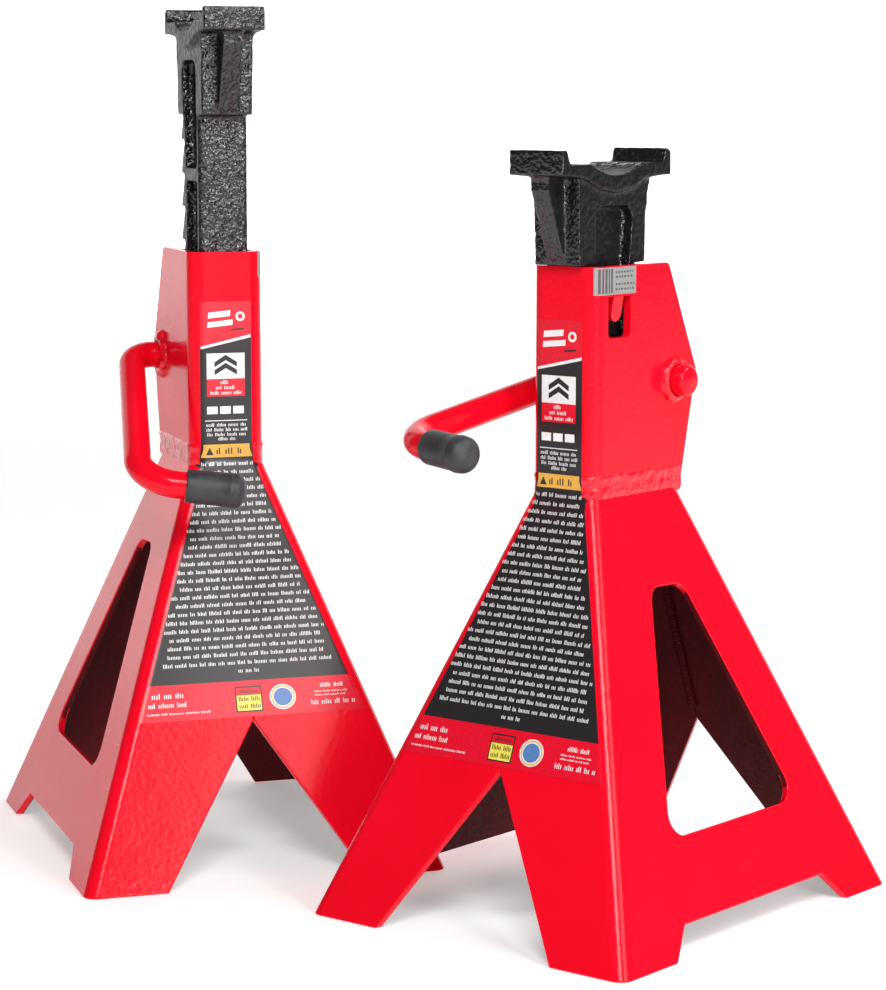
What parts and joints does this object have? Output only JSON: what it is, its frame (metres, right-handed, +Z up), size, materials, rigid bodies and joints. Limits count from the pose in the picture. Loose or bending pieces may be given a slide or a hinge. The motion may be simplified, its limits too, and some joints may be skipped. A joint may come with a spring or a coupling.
{
  "type": "axle jack stand pair",
  "caption": "Pair of steel ratchet jack stands, one raised and one lowered, each with a pressed four-leg base, folded tower, toothed cast bar with cradle saddle, and bent lever handle.",
  "frame": {"origin": "on the floor, under the middle of the pair's bounding box", "axes": "+Z up; the picture was taken looking along +Y, with +X to its right. Each stand's label faces mostly -Y, turned 18.3 degrees (left) and -39.2 degrees (right) about +Z"},
  "size_m": [0.4318, 0.3807, 0.4049],
  "materials": {
    "red_enamel": "glossy red enamel over pressed sheet steel, slight orange peel",
    "painted_weld": "red enamel over rippled weld beads",
    "black_casting": "gloss black paint over coarse sand-cast iron",
    "grip_rubber": "satin moulded rubber",
    "pawl_steel": "dark bare steel, lightly oiled",
    "label_film": "glossy printed film",
    "sticker_foil": "silver printed foil"
  },
  "bodies": {
    "left_stand": {"left_base_left_shell": "red_enamel", "left_base_right_shell": "red_enamel", "left_front_seam_weld": "painted_weld", "left_rear_seam_weld": "painted_weld", "left_tower": "red_enamel", "left_tower_weld": "painted_weld", "left_upper_guide": "red_enamel", "left_lower_guide": "red_enamel", "left_guide_welds": "painted_weld", "left_left_boss": "red_enamel", "left_right_boss": "red_enamel", "left_front_label": "label_film", "left_side_sticker": "sticker_foil"},
    "left_bar": {"left_ratchet_bar": "black_casting"},
    "left_handle": {"left_handle_rod": "red_enamel", "left_handle_grip": "grip_rubber", "left_pawl": "pawl_steel", "left_pawl_weld": "painted_weld", "left_shaft_collar": "red_enamel"},
    "right_stand": {"right_base_left_shell": "red_enamel", "right_base_right_shell": "red_enamel", "right_front_seam_weld": "painted_weld", "right_rear_seam_weld": "painted_weld", "right_tower": "red_enamel", "right_tower_weld": "painted_weld", "right_upper_guide": "red_enamel", "right_lower_guide": "red_enamel", "right_guide_welds": "painted_weld", "right_left_boss": "red_enamel", "right_right_boss": "red_enamel", "right_front_label": "label_film", "right_side_sticker": "sticker_foil"},
    "right_bar": {"right_ratchet_bar": "black_casting"},
    "right_handle": {"right_handle_rod": "red_enamel", "right_handle_grip": "grip_rubber", "right_pawl": "pawl_steel", "right_pawl_weld": "painted_weld", "right_shaft_collar": "red_enamel"}
  },
  "joints": [
    {"name": "left_bar_slide", "type": "slide", "parent": "left_stand", "child": "left_bar", "axis": [0, 0, 1], "range_m": [-0.064, 0.144]},
    {"name": "left_handle_turn", "type": "hinge", "parent": "left_stand", "child": "left_handle", "pos_m": [-0.11023, 0.08972, 0.237], "axis": [0.9494, 0.314, 0], "range_deg": [-45, 15]},
    {"name": "right_bar_slide", "type": "slide", "parent": "right_stand", "child": "right_bar", "axis": [0, 0, 1], "range_m": [0, 0.208]},
    {"name": "right_handle_turn", "type": "hinge", "parent": "right_stand", "child": "right_handle", "pos_m": [0.10118, -0.03646, 0.237], "axis": [0.7749, -0.632, 0], "range_deg": [-30, 30]},
    {"name": "right_stand_place", "type": "slide", "parent": "left_stand", "child": "right_stand", "axis": [1, 0, 0], "range_m": [0, 0.15]}
  ]
}
